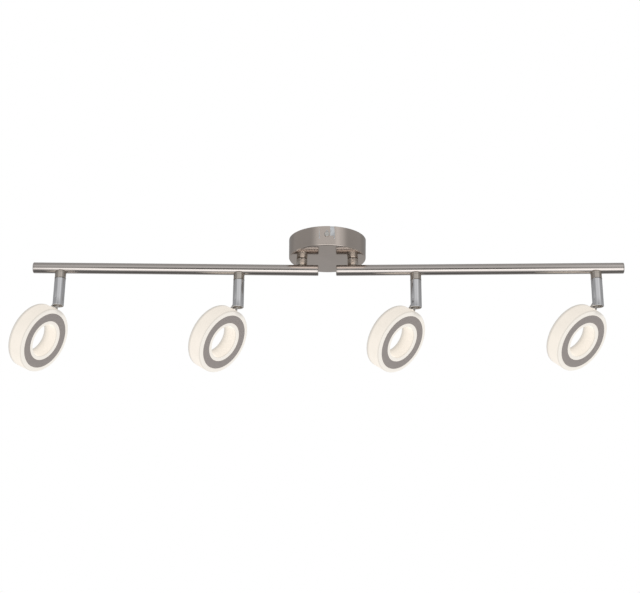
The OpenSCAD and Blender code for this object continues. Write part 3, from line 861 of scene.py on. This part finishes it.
def bar(side):
    """The arm's tube and the caps in its ends."""
    place = arm_frame(side)
    low, high = extent(f"{side}_tube", place)
    tube_z, tube_r = tube_size(side)
    along = place @ Matrix.Translation((0, 0, tube_z)) @ Matrix.Rotation(math.pi / 2, 4, "Y")
    edge = 0.15 * MM
    wall = [(tube_r, low.x, edge), (tube_r, high.x, edge)]
    wall += [(tube_r - TUBE_WALL, high.x, 0), (tube_r - TUBE_WALL, low.x, 0)]
    tube = spun(f"{side}_bar", wall, 3, 128, along)
    drill(tube, place, disc(THREAD_R, 40), tube_z, tube_z + 2 * tube_r)
    for head in SIDES[side]:
        neck = disc(COLLAR_NECK_R, 40, (station(head, side), 0))
        drill(tube, place, neck, tube_z - 2 * tube_r, tube_z)
    dress(tube, f"arm_{side}", satin, [f"{side}_tube"])

    cap_low, cap_high = extent(f"{side}_end_caps", place)
    plug = tube_r - TUBE_WALL - 0.05 * MM
    hollow = plug - 1.15 * MM

    def caps(mesh):
        for end, tip, out in ((high.x, cap_high.x, MM), (low.x, cap_low.x, -MM)):
            corners = [
                (0, tip, 0),
                (tube_r, tip, 1.0 * MM),
                (tube_r, end + 0.02 * out, 0.15 * MM),
                (plug, end, 0),
                (plug, end - 5 * out, 0.4 * MM),
                (hollow, end - 5 * out, 0),
                (hollow, end - 0.5 * out, 0),
                (0, end - 0.5 * out, 0),
            ]
            turned(mesh, rounded(corners, 6), 96)

    ends = solid(f"{side}_bar_caps", caps, along)
    dress(ends, f"arm_{side}", satin_face, [f"{side}_end_caps"])


def stem(side):
    """Hollow rod from the arm's tube up through the bush: a knurled spacer and a thread above it."""
    place = arm_frame(side)
    low, high = extent(f"{side}_stem", place)
    tube = tube_size(side)
    tube_top = sum(tube)
    radius, bore, edge = (high.y - low.y) / 2, 3.5 * MM, 0.35 * MM
    spacer_top = CANOPY_FLOOR - 0.2 * MM
    grip_top, grip_low = spacer_top - 0.9 * MM, tube_top + 0.35 * MM
    shoulder = tube_top - 1.2 * MM
    rows = [(bore, high.z - 0.3 * MM), (bore + 0.3 * MM, high.z), (THREAD_R - 0.5 * MM, high.z)]
    rows += thread(THREAD_R, high.z - 0.3 * MM, spacer_top, THREAD_PITCH, 0.55 * THREAD_PITCH)
    rows += [(radius - edge, spacer_top), (radius, spacer_top - edge), (radius, grip_top + 0.05 * MM)]
    rows += knurl(radius, grip_top, grip_low, STEM_TEETH)
    rows += [saddle(radius, tube, 1, shoulder), saddle(THREAD_R, tube, 1, shoulder)]
    rows += [(THREAD_R, low.z), (bore, low.z)]
    made = solid(f"{side}_knurled_stem", lambda mesh: turned(mesh, rows, STEM_TEETH * 4), place)
    dress(made, f"arm_{side}", bright_nickel, [f"{side}_stem"])


def stem_nut(side):
    """Hexagon nut with chamfered upper corners, on its own washer."""
    place = arm_frame(side)
    low, high = extent(f"{side}_stem_nut", place)
    corner = NUT_FLAT / math.cos(math.pi / 6)
    seat, edge = low.z + WASHER_T, 0.25 * MM
    cone = [
        (THREAD_R, low.z, 0),
        (WASHER_R, low.z, edge),
        (WASHER_R, seat, edge),
        (corner + MM, seat, 0),
        (corner + MM, high.z - 1.2 * MM, 0),
        (NUT_FLAT - 0.1 * MM, high.z, 0),
        (THREAD_R + 0.5 * MM, high.z, 0),
        (THREAD_R, high.z - 0.5 * MM, 0),
    ]
    washer = [(THREAD_R, low.z, 0), (WASHER_R, low.z, edge), (WASHER_R, seat, edge), (THREAD_R, seat, 0)]
    hexagon = disc(corner, 6)
    nut = slab(f"{side}_hex_nut", place, hexagon, seat, high.z)
    combine(nut, spun("cone", cone, 3, 72, place), "INTERSECT")
    weld(nut, spun("washer", washer, 3, 72, place))
    dress(nut, f"arm_{side}", brass, [f"{side}_stem_nut"])


def arm_leads(side):
    """A pair of cores from the stem's mouth to the outer head, and a branch to the inner one."""
    place = arm_frame(side)
    outer, inner = (station(head, side) for head in SIDES[side])
    tube_z, _ = tube_size(side)
    top = extent(f"{side}_stem", place)[1].z - MM
    down = extent(f"{side}_leads", place)[0].z + LEAD_R
    for name, y in (("plus", -1.2 * MM), ("minus", 1.2 * MM)):
        route = [(0, y, top), (0, y, tube_z + 8 * MM), (8 * MM, y, tube_z)]
        route += [(outer - 6 * MM, y, tube_z), (outer, y, tube_z - 3 * MM), (outer, y, down)]
        lead = lead_along(f"{side}_{name}_core", route, place)
        dress(lead, f"arm_{side}", lead_skin[name], [f"{side}_leads"])
        lead = lead_along(f"{side}_{name}_branch", [(inner, y, tube_z), (inner, y, down)], place)
        dress(lead, f"arm_{side}", lead_skin[name])


# ---- Head groups ----


def collar(head, side):
    """A collar under the tube, smooth round a shallow waist, and the grub screw at its back."""
    place = arm_frame(side) @ Matrix.Translation((station(head, side), 0, 0))
    tube = tube_size(side)
    tube_low = tube[0] - tube[1]
    low, high = extent(f"head{head}_collar", place)
    radius, base, edge = (high.y - low.y) / 2, low.z, 0.35 * MM
    bore, throat = 4.06 * MM, 2.6 * MM
    waist = radius - 0.3 * MM
    waist_top = tube_low - 0.9 * MM
    shoulder = tube_low + 1.4 * MM
    spigot_top = -49.6 * MM
    rows = [(bore, base + 0.3 * MM), (bore + 0.3 * MM, base), (radius - edge, base)]
    rows += [(radius, base + edge), (radius, base + 0.75 * MM)]
    rows += [(waist, base + 0.95 * MM), (waist, base + 1.15 * MM)]
    rows += [(waist, waist_top + 0.12 * MM), (waist, waist_top + 0.3 * MM), (radius, waist_top + 0.5 * MM)]
    rows += [saddle(radius, tube, -1, shoulder), saddle(COLLAR_NECK_R, tube, -1, shoulder)]
    rows += [(COLLAR_NECK_R, high.z), (throat, high.z), (throat, spigot_top), (bore, spigot_top)]
    columns = 192
    made = solid(f"head{head}_knurled_collar", lambda mesh: turned(mesh, rows, columns), place)
    screw_low, screw_high = extent(f"head{head}_grub_screw", place)
    groove_z = (screw_low.z + screw_high.z) / 2
    out = -1 if side == "left" else 1
    drill(made, place, disc(1.5 * MM, 28, (0, groove_z)), *sorted((out * 3 * MM, out * 10 * MM)), "Y")
    dress(made, f"arm_{side}", bright_nickel, [f"head{head}_collar"])

    turn = place @ Matrix.Translation((0, 0, groove_z))
    turn = turn @ Matrix.Rotation(-out * math.pi / 2, 4, "X")
    outer, tip, tip_r = radius - 0.5 * MM, 3.5 * MM, 0.9 * MM
    profile = [(0, tip), (tip_r, tip), (tip_r, tip + 0.9 * MM)]
    profile += thread(1.48 * MM, 4.1 * MM, outer - 0.1 * MM, 0.5 * MM, 0.25 * MM)
    profile += [(1.2 * MM, outer), (0, outer)]
    screw = solid(f"head{head}_set_screw", lambda mesh: turned(mesh, profile, 32), turn)
    drill(screw, turn, disc(0.8 * MM, 6), outer - 1.2 * MM, outer + PAST)
    dress(screw, f"arm_{side}", dark_steel, [f"head{head}_grub_screw"])


def post(head):
    """A polished tube with a spigot above and a slot for the knuckle below, and the pin across it."""
    body = f"post{head}"
    place = post_frame(head)
    low, high = extent(f"head{head}_post", place)
    radius = (high.y - low.y) / 2
    pin_z = JOINTS[f"head{head}_tilt"]["pos_m"][2]
    top, groove = -56.2 * MM, -52.6 * MM
    groove_low, groove_high = groove - 1.2 * MM, groove + 1.2 * MM
    spigot, bore = 4.0 * MM, 2.2 * MM
    waist = spigot - 0.8 * MM
    corners = [
        (bore, low.z, 0.1 * MM),
        (radius, low.z, 0.5 * MM),
        (radius, top, 0.4 * MM),
        (spigot, top, 0),
        (spigot, groove_low, 0),
        (waist, groove_low, 0),
        (waist, groove_high, 0),
        (spigot, groove_high, 0),
        (spigot, high.z, 0.4 * MM),
        (bore, high.z, 0.2 * MM),
    ]
    made = spun(f"head{head}_turned_post", corners, 4, 128, place)
    room = EYE_R + 0.5 * MM
    slot = rect(-radius - 5 * MM, low.z - 5 * MM, room, pin_z + room, 0.6 * MM)
    drill(made, place, slot, -SLOT_GAP / 2, SLOT_GAP / 2, "Y")
    drill(made, place, disc(PIN_R + 0.02 * MM, 40, (0, pin_z)), -10 * MM, 10 * MM, "Y")
    drill(made, place, disc(bore, 40), pin_z, high.z + PAST)
    ease(made, 0.18 * MM, 50)
    dress(made, body, chrome, [f"head{head}_post"], 30)

    pin_low, pin_high = extent(f"head{head}_pivot_pin", place)
    across = place @ Matrix.Translation((0, 0, pin_z)) @ Matrix.Rotation(math.pi / 2, 4, "X")
    reach = (pin_high.y - pin_low.y) / 2
    corners = [(0, -reach, 0), (PIN_R, -reach, 0.35 * MM), (PIN_R, reach, 0.35 * MM), (0, reach, 0)]
    pin = spun(f"head{head}_hinge_pin", corners, 4, 48, across)
    dress(pin, body, pin_chrome, [f"head{head}_pivot_pin"])


def knuckle(head):
    """A tongue with a round end on the pin, a flange on the ring, and a threaded shank inside it."""
    place = head_frame(head)
    low, _ = extent(f"head{head}_knuckle", place)
    ring_top = extent(f"head{head}_light_ring", place)[1].z
    flange_t, flange_r, shank_r, half_w = 1.4 * MM, 4.8 * MM, 2.5 * MM, 4.0 * MM
    flange_low = ring_top + 0.05 * MM
    flange_top, foot = flange_low + flange_t, flange_low + flange_t / 2
    lean = math.asin(half_w / EYE_R)
    turns = [-math.pi / 2 + lean + (2 * math.pi - 2 * lean) * k / 32 for k in range(33)]
    side = [(EYE_R * math.cos(a), EYE_R * math.sin(a)) for a in turns] + [(-half_w, foot), (half_w, foot)]
    half_t = TONGUE_T / 2
    tongue = slab(f"head{head}_tongue", place, side, -half_t, half_t, "Y")
    ease(tongue, 0.3 * MM, 60)
    flange = [(0, flange_low, 0), (flange_r, flange_low, 0.1 * MM)]
    flange += [(flange_r, flange_top, 0.4 * MM), (0, flange_top, 0)]
    weld(tongue, spun("flange", flange, 4, 64, place))
    shank = [(0, flange_low + 0.3 * MM)]
    shank += thread(shank_r, flange_low + 0.3 * MM, low.z + 0.4 * MM, 0.5 * MM, 0.28 * MM)
    shank += [(shank_r - 0.4 * MM, low.z), (0, low.z)]
    weld(tongue, solid("shank", lambda mesh: turned(mesh, shank, 40), place))
    drill(tongue, place, disc(PIN_R + 0.06 * MM, 40), -5 * MM, 5 * MM, "Y")
    drill(tongue, place, disc(1.1 * MM, 24), low.z - PAST, -6.5 * MM)
    dress(tongue, f"head{head}", knuckle_nickel, [f"head{head}_knuckle"])


def ring(head):
    """The opal ring, the grey ring let into its front, and the pale cover on its back."""
    body = f"head{head}"
    place = ring_frame(head)
    low, high = extent(f"head{head}_light_ring", place)
    hole_r, outer_r = radii(f"head{head}_light_ring", place)
    trim_in, trim_out = radii(f"head{head}_front_trim", place)
    trim_low, trim_high = extent(f"head{head}_front_trim", place)
    rear = extent(f"head{head}_rear_cover", place)[0].z
    front, back = high.z, low.z
    edge, hole_edge, seat = 2.6 * MM, 1.5 * MM, 0.1 * MM
    corners = [
        (outer_r, back, 0.2 * MM),
        (outer_r, front, edge),
        (trim_out + seat, front, 0.15 * MM),
        (trim_out + seat, trim_low.z, 0),
        (trim_in - seat, trim_low.z, 0),
        (trim_in - seat, front, 0.15 * MM),
        (hole_r, front, hole_edge),
        (hole_r, back, 0.2 * MM),
        (hole_r + RING_WALL, back, 0),
        (hole_r + RING_WALL, front - RING_WALL, MM),
        (outer_r - RING_WALL, front - RING_WALL, MM),
        (outer_r - RING_WALL, back, 0),
    ]
    shell = spun(f"head{head}_opal_ring", corners, 6, 160, place)
    drill(shell, place, disc(2.7 * MM, 40), -outer_r - PAST, -outer_r + RING_WALL + PAST, "X")
    dress(shell, body, opal_skin, [f"head{head}_light_ring"])

    corners = [
        (trim_in, trim_low.z, 0),
        (trim_out, trim_low.z, 0),
        (trim_out, trim_high.z, 0.2 * MM),
        (trim_in, trim_high.z, 0.2 * MM),
    ]
    trim = spun(f"head{head}_grey_ring", corners, 3, 160, place)
    dress(trim, body, grey_trim, [f"head{head}_front_trim"])

    lip_out = outer_r - RING_WALL - 0.1 * MM
    lip_in, lip_top = lip_out - 2 * MM, back + 3 * MM
    groove_r, groove_w, groove_d = outer_r - 5 * MM, 0.5 * MM, 0.35 * MM
    corners = [
        (hole_r, back, 0.1 * MM),
        (hole_r, rear, 0.3 * MM),
        (groove_r - groove_w, rear, 0),
        (groove_r - groove_w / 2, rear + groove_d, 0),
        (groove_r + groove_w / 2, rear + groove_d, 0),
        (groove_r + groove_w, rear, 0),
        (outer_r, rear, 1.9 * MM),
        (outer_r, back, 0.1 * MM),
        (lip_out, back, 0),
        (lip_out, lip_top, 0.2 * MM),
        (lip_in, lip_top, 0.2 * MM),
        (lip_in, back, 0),
    ]
    cover = spun(f"head{head}_back_plate", corners, 4, 160, place)
    inner = outer_r - RING_WALL - 8.3 * MM
    boss = rect(-lip_out + 0.35 * MM, -5 * MM, -inner, 5 * MM, 0.5 * MM, 3)
    weld(cover, slab("boss", place, boss, back - 0.5 * MM, 5 * MM))
    drill(cover, place, disc(2.5 * MM, 32), -outer_r, -inner - 1.5 * MM, "X")
    dress(cover, body, cover_pale, [f"head{head}_rear_cover"])


def cad_skin(node, material):
    """A CAD node whose shape is right keeps it, and takes a material."""
    obj = frame["nodes"][node]
    obj.data.materials.clear()
    obj.data.materials.append(material)


ring_back, ring_front = (corner.z for corner in extent("head1_light_ring", ring_frame(1)))
opal_skin = opal("opal_acrylic", ring_back, ring_front, radii("head1_light_ring", ring_frame(1))[0])

canopy_shell()
ceiling_bracket()
canopy_screws()
swivel_bushes()
driver()
mains_terminal()
terminal_screws()
earth_screw()
canopy_leads()
cad_skin("driver_board", board_green)
for arm_side, arm_heads in SIDES.items():
    for build_piece in (bar, stem, stem_nut, arm_leads):
        build_piece(arm_side)
    for number in arm_heads:
        collar(number, arm_side)
for number in HEADS:
    post(number)
    knuckle(number)
    ring(number)
    cad_skin(f"head{number}_led_board", board_white)


# ---- Studio ----

FLOOR_Z, FLOOR_R = -0.75, 14


def make_floor():
    """A pale floor far below, which metal doesn't reflect."""
    floor = solid("floor", lambda mesh: prism(mesh, disc(FLOOR_R, 96), FLOOR_Z - 0.02, FLOOR_Z))
    skin = Finish("floor", Roughness=0.7, Emission_Strength=0.42)
    skin.set("Base Color", rgb(0.86, 0.86, 0.86))
    skin.set("Emission Color", rgb(1, 1, 1))
    floor.data.materials.append(skin.material)
    floor.visible_glossy = False


# The grey that is reflected from each elevation in degrees. The front has a dark band at eye
# level, which opens up away from the middle.
BELOW = [(-90, 0.26), (-78, 0.30), (-66, 0.46), (-57, 0.95), (-48, 1.65), (-40, 1.8), (-26, 1.8), (-19, 1.1)]
DARK_BAND = [(-14, 0.14), (-9, 0.05), (1, 0.05), (8, 0.42)]
OPEN_BAND = [(-12, 0.6), (-6, 0.45), (2, 0.45), (8, 0.5)]
ABOVE = [(14, 0.66), (30, 0.66), (46, 0.60), (60, 0.48), (75, 0.43), (90, 0.43)]
FLANK = [(-90, 0.2), (-60, 0.2), (-20, 0.2), (-9, 0.5), (4, 0.5), (14, 0.36), (60, 0.4), (90, 0.43)]
BACK = [(-90, 0.12), (-50, 0.14), (-38, 0.42), (-10, 0.42), (5, 0.3), (24, 0.3), (45, 0.42), (90, 0.43)]
# Where one panel fades into the next, as the sine of the angle to the left (-) or right of the front
BAND_EDGE = (0.2, 0.34)
FRONT_LEFT, FRONT_RIGHT = (-0.79, -0.4), (0.66, 0.93)
BACK_EDGE = (0.75, 0.95)
FORE_EDGE = (-0.05, 0.05)  # between the front half and the back half
STRIP_RISE, STRIP_FALL = (0.36, 0.5), (0.53, 0.68)  # a faint white strip, upper right
STRIP_FOOT = (0.1, 0.25)
STRIP_GAIN = 0.11
STUDIO_GAIN = 2.0  # the world's strength, which the ramps' levels are divided by


def elevation_ramp(nodes, height, stops):
    """Grey levels by elevation in degrees, as a ramp over the height of a direction."""
    ramp = nodes.node("ValToRGB")
    nodes.feed(ramp.inputs[0], height)
    elements = ramp.color_ramp.elements
    elements.remove(elements[1])
    elements[0].color = (stops[0][1] / STUDIO_GAIN,) * 3 + (1,)
    for degrees, level in stops[1:]:
        element = elements.new((math.sin(math.radians(degrees)) + 1) / 2)
        element.color = (level / STUDIO_GAIN,) * 3 + (1,)
    return ramp.outputs[0]


def make_world():
    """A studio of soft panels for reflections, and a plain white background."""
    world = bpy.data.worlds.new("studio")
    bpy.context.scene.world = world
    world.use_nodes = True
    nodes = Nodes(world.node_tree)
    axes = nodes.node("SeparateXYZ", Vector=nodes.node("TexCoord").outputs["Generated"])
    x, y, z = (axes.outputs[i] for i in range(3))

    def smooth(value, edge):
        return nodes.spread(value, *edge, shape="SMOOTHSTEP")

    def panel(stops):
        return elevation_ramp(nodes, height, stops)

    level = nodes.math("SQRT", nodes.math("ADD", nodes.product(x, x), nodes.product(y, y)))
    aside = nodes.math("DIVIDE", x, nodes.math("MAXIMUM", level, 0.02))
    off_axis = nodes.math("ABSOLUTE", aside)
    height = nodes.math("MULTIPLY_ADD", z, 0.5, 0.5)
    flank = panel(FLANK)
    front = nodes.blend(
        smooth(off_axis, BAND_EDGE), panel(BELOW + DARK_BAND + ABOVE), panel(BELOW + OPEN_BAND + ABOVE)
    )
    ahead = nodes.math("SUBTRACT", smooth(aside, FRONT_LEFT), smooth(aside, FRONT_RIGHT))
    fore = nodes.blend(ahead, flank, front)
    hind = nodes.blend(smooth(off_axis, BACK_EDGE), panel(BACK), flank)
    studio = nodes.blend(smooth(y, FORE_EDGE), fore, hind)
    strip = nodes.math("SUBTRACT", smooth(aside, STRIP_RISE), smooth(aside, STRIP_FALL))
    strip = nodes.product(nodes.product(strip, smooth(z, STRIP_FOOT)), smooth(y, FORE_EDGE[::-1]))
    studio = nodes.blend(nodes.product(strip, STRIP_GAIN), studio, rgb(1, 1, 1))

    seen = nodes.node("LightPath").outputs["Is Camera Ray"]
    reflected = nodes.tree.nodes["Background"]
    nodes.feed(reflected.inputs["Color"], studio)
    nodes.feed(reflected.inputs["Strength"], STUDIO_GAIN)
    plain = nodes.node("Background", Color=rgb(1, 1, 1))
    choose = nodes.node("MixShader")
    for socket, value in zip(choose.inputs, (seen, reflected.outputs[0], plain.outputs[0])):
        nodes.feed(socket, value)
    nodes.feed(nodes.tree.nodes["World Output"].inputs["Surface"], choose.outputs[0])


CAMERA_PLACE = (0.0245, -1.5298, -0.6116)
CAMERA_PITCH, CAMERA_YAW, CAMERA_ROLL = 19.25, -1.26, 0.48  # degrees
CAMERA_LENS, SENSOR = 70.96, 36.0  # mm


def make_camera():
    """Below the lamp and in front of it, looking up."""
    data = bpy.data.cameras.new("camera")
    data.sensor_width = SENSOR
    data.lens = CAMERA_LENS
    data.clip_start, data.clip_end = 0.01, 100
    aim = Matrix.Rotation(math.radians(-CAMERA_YAW), 4, "Z")
    aim = aim @ Matrix.Rotation(math.radians(90 + CAMERA_PITCH), 4, "X")
    aim = aim @ Matrix.Rotation(math.radians(CAMERA_ROLL), 4, "Z")
    bpy.context.scene.camera = link("camera", data, Matrix.Translation(CAMERA_PLACE) @ aim)


make_floor()
make_world()
make_camera()
bpy.context.scene.view_settings.view_transform = "Standard"
